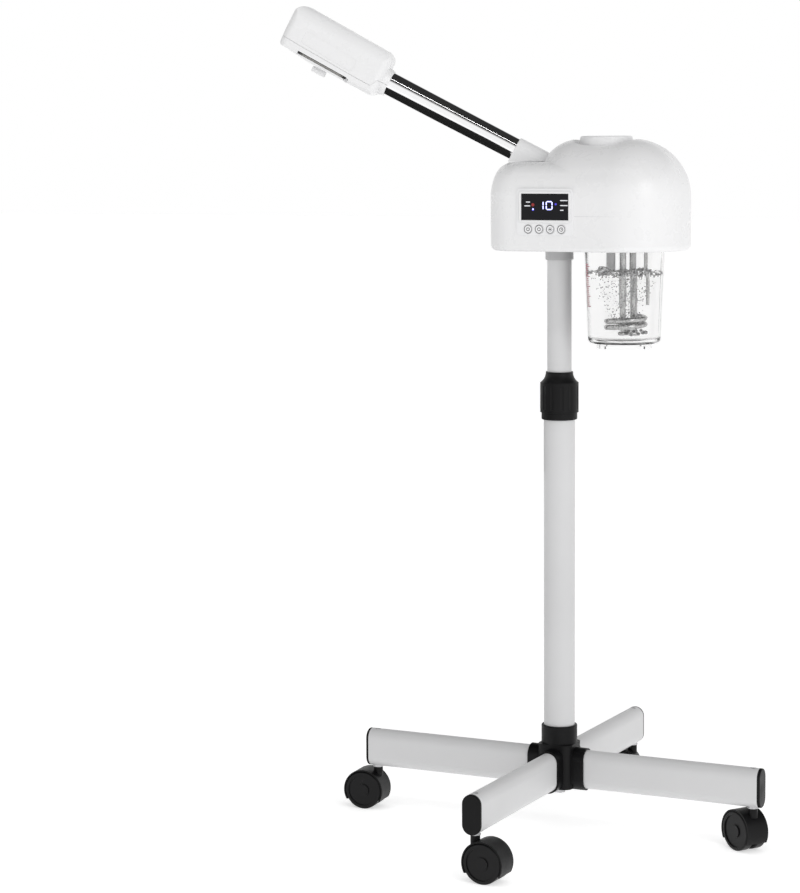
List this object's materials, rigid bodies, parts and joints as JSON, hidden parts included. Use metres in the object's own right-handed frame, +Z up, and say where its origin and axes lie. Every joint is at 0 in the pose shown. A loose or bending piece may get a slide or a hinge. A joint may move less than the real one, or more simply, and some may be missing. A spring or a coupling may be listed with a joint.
{
  "type": "facial steamer",
  "caption": "Stand-mounted facial steamer: castered cross base, telescopic column, domed boiler head with glass cup, and a swivelling steam arm with nozzle.",
  "frame": {"origin": "on the floor, on the column's axis", "axes": "+Z up along the column, -Y towards the control panel's user, +X from the column towards the glass cup"},
  "size_m": [0.503, 0.4493, 0.8505],
  "materials": {
    "white_powder_coat": "satin",
    "black_plastic": "satin",
    "wheel_plastic": "satin",
    "steel": "satin",
    "grey_plastic": "satin",
    "housing_white": "gloss",
    "cap_clear": "gloss",
    "bezel_white": "gloss",
    "display_black": "gloss",
    "board_green": "satin",
    "seal_rubber": "matte",
    "heater_steel": "satin",
    "pipe_silicone": "matte",
    "chrome_tube": "polished",
    "outlet_plastic": "satin",
    "inlet_black": "satin",
    "cup_glass": "clear"
  },
  "bodies": {
    "base": {"base_hub": "black_plastic", "hub_bolt": "steel", "leg_right": "white_powder_coat", "leg_back": "white_powder_coat", "leg_left": "white_powder_coat", "leg_front": "white_powder_coat", "leg_end_caps": "black_plastic", "stem_sleeves": "steel", "lower_column_tube": "white_powder_coat", "column_foot_plug": "steel", "column_guide": "black_plastic", "clamp_ring": "black_plastic"},
    "clamp_knob": {"clamp_knob": "black_plastic"},
    "upper_column": {"upper_column_tube": "white_powder_coat", "column_sleeve": "grey_plastic"},
    "head": {"head_shell": "housing_white", "head_base_plate": "housing_white", "head_screws": "steel", "display_bezel": "bezel_white", "display_window": "display_black", "control_board": "board_green", "filler_neck": "housing_white", "boiler_lid": "housing_white", "cup_gasket": "seal_rubber", "heater_coil": "heater_steel", "water_probes": "heater_steel", "thermostat_bulb": "heater_steel", "steam_riser": "pipe_silicone", "mains_inlet": "inlet_black"},
    "button_1": {"button_1": "bezel_white"},
    "button_2": {"button_2": "bezel_white"},
    "button_3": {"button_3": "bezel_white"},
    "button_4": {"button_4": "bezel_white"},
    "filler_cap": {"filler_cap": "cap_clear"},
    "cup": {"glass_cup": "cup_glass"},
    "arm": {"arm_elbow": "housing_white", "elbow_clip": "steel", "arm_tube": "chrome_tube"},
    "nozzle": {"nozzle_upper_shell": "housing_white", "nozzle_lower_shell": "housing_white", "nozzle_screws": "steel", "steam_outlet": "outlet_plastic", "door_pin": "steel"},
    "aroma_door": {"aroma_door": "housing_white"},
    "caster_right": {"caster_right_hood": "black_plastic", "caster_right_pins": "steel"},
    "caster_right_wheel_a": {"caster_right_wheel_a": "wheel_plastic"},
    "caster_right_wheel_b": {"caster_right_wheel_b": "wheel_plastic"},
    "caster_back": {"caster_back_hood": "black_plastic", "caster_back_pins": "steel"},
    "caster_back_wheel_a": {"caster_back_wheel_a": "wheel_plastic"},
    "caster_back_wheel_b": {"caster_back_wheel_b": "wheel_plastic"},
    "caster_left": {"caster_left_hood": "black_plastic", "caster_left_pins": "steel"},
    "caster_left_wheel_a": {"caster_left_wheel_a": "wheel_plastic"},
    "caster_left_wheel_b": {"caster_left_wheel_b": "wheel_plastic"},
    "caster_front": {"caster_front_hood": "black_plastic", "caster_front_pins": "steel"},
    "caster_front_wheel_a": {"caster_front_wheel_a": "wheel_plastic"},
    "caster_front_wheel_b": {"caster_front_wheel_b": "wheel_plastic"}
  },
  "joints": [
    {"name": "column_slide", "type": "slide", "parent": "base", "child": "upper_column", "axis": [0, 0, 1], "range_m": [-0.11, 0.115]},
    {"name": "clamp_turn", "type": "hinge", "parent": "base", "child": "clamp_knob", "pos_m": [0, 0, 0.45], "axis": [0, 0, 1], "range_deg": [0, 90]},
    {"name": "head_swivel", "type": "hinge", "parent": "upper_column", "child": "head", "pos_m": [0, 0, 0.61], "axis": [0, 0, 1], "range_deg": [-170, 170]},
    {"name": "arm_swivel", "type": "hinge", "parent": "head", "child": "arm", "pos_m": [-0.028, 0, 0.69], "axis": [0, 0, 1], "range_deg": [-95, 60]},
    {"name": "nozzle_roll", "type": "hinge", "parent": "arm", "child": "nozzle", "pos_m": [-0.17037, -0.04902, 0.77242], "axis": [-0.8375, -0.2884, 0.4642], "range_deg": [-170, 170]},
    {"name": "aroma_door_hinge", "type": "hinge", "parent": "nozzle", "child": "aroma_door", "pos_m": [-0.20941, -0.06246, 0.77464], "axis": [0.3256, -0.9455, 0], "range_deg": [0, 70]},
    {"name": "filler_cap_lift", "type": "slide", "parent": "head", "child": "filler_cap", "axis": [0, 0, 1], "range_m": [0, 0.045]},
    {"name": "cup_drop", "type": "slide", "parent": "head", "child": "cup", "axis": [0, 0, -1], "range_m": [0, 0.115]},
    {"name": "button_1_press", "type": "slide", "parent": "head", "child": "button_1", "axis": [0, 1, 0], "range_m": [0, 0.0008], "stiffness_N_per_m": 600},
    {"name": "button_2_press", "type": "slide", "parent": "head", "child": "button_2", "axis": [0, 1, 0], "range_m": [0, 0.0008], "stiffness_N_per_m": 600},
    {"name": "button_3_press", "type": "slide", "parent": "head", "child": "button_3", "axis": [0, 1, 0], "range_m": [0, 0.0008], "stiffness_N_per_m": 600},
    {"name": "button_4_press", "type": "slide", "parent": "head", "child": "button_4", "axis": [0, 1, 0], "range_m": [0, 0.0008], "stiffness_N_per_m": 600},
    {"name": "caster_right_swivel", "type": "hinge", "parent": "base", "child": "caster_right", "pos_m": [0.21, 0, 0.046], "axis": [0, 0, 1], "continuous": true},
    {"name": "caster_right_wheel_a_roll", "type": "hinge", "parent": "caster_right", "child": "caster_right_wheel_a", "pos_m": [0.1991, 0.00708, 0.02], "axis": [-0.5446, -0.8387, 0], "continuous": true},
    {"name": "caster_right_wheel_b_roll", "type": "hinge", "parent": "caster_right", "child": "caster_right_wheel_b", "pos_m": [0.1991, 0.00708, 0.02], "axis": [-0.5446, -0.8387, 0], "continuous": true},
    {"name": "caster_back_swivel", "type": "hinge", "parent": "base", "child": "caster_back", "pos_m": [0, 0.21, 0.046], "axis": [0, 0, 1], "continuous": true},
    {"name": "caster_back_wheel_a_roll", "type": "hinge", "parent": "caster_back", "child": "caster_back_wheel_a", "pos_m": [-0.0125, 0.20642, 0.02], "axis": [0.2756, -0.9613, 0], "continuous": true},
    {"name": "caster_back_wheel_b_roll", "type": "hinge", "parent": "caster_back", "child": "caster_back_wheel_b", "pos_m": [-0.0125, 0.20642, 0.02], "axis": [0.2756, -0.9613, 0], "continuous": true},
    {"name": "caster_left_swivel", "type": "hinge", "parent": "base", "child": "caster_left", "pos_m": [-0.21, 0, 0.046], "axis": [0, 0, 1], "continuous": true},
    {"name": "caster_left_wheel_a_roll", "type": "hinge", "parent": "caster_left", "child": "caster_left_wheel_a", "pos_m": [-0.22297, -0.00091, 0.02], "axis": [0.0698, -0.9976, 0], "continuous": true},
    {"name": "caster_left_wheel_b_roll", "type": "hinge", "parent": "caster_left", "child": "caster_left_wheel_b", "pos_m": [-0.22297, -0.00091, 0.02], "axis": [0.0698, -0.9976, 0], "continuous": true},
    {"name": "caster_front_swivel", "type": "hinge", "parent": "base", "child": "caster_front", "pos_m": [0, -0.21, 0.046], "axis": [0, 0, 1], "continuous": true},
    {"name": "caster_front_wheel_a_roll", "type": "hinge", "parent": "caster_front", "child": "caster_front_wheel_a", "pos_m": [0.01298, -0.21068, 0.02], "axis": [0.0523, 0.9986, 0], "continuous": true},
    {"name": "caster_front_wheel_b_roll", "type": "hinge", "parent": "caster_front", "child": "caster_front_wheel_b", "pos_m": [0.01298, -0.21068, 0.02], "axis": [0.0523, 0.9986, 0], "continuous": true}
  ]
}
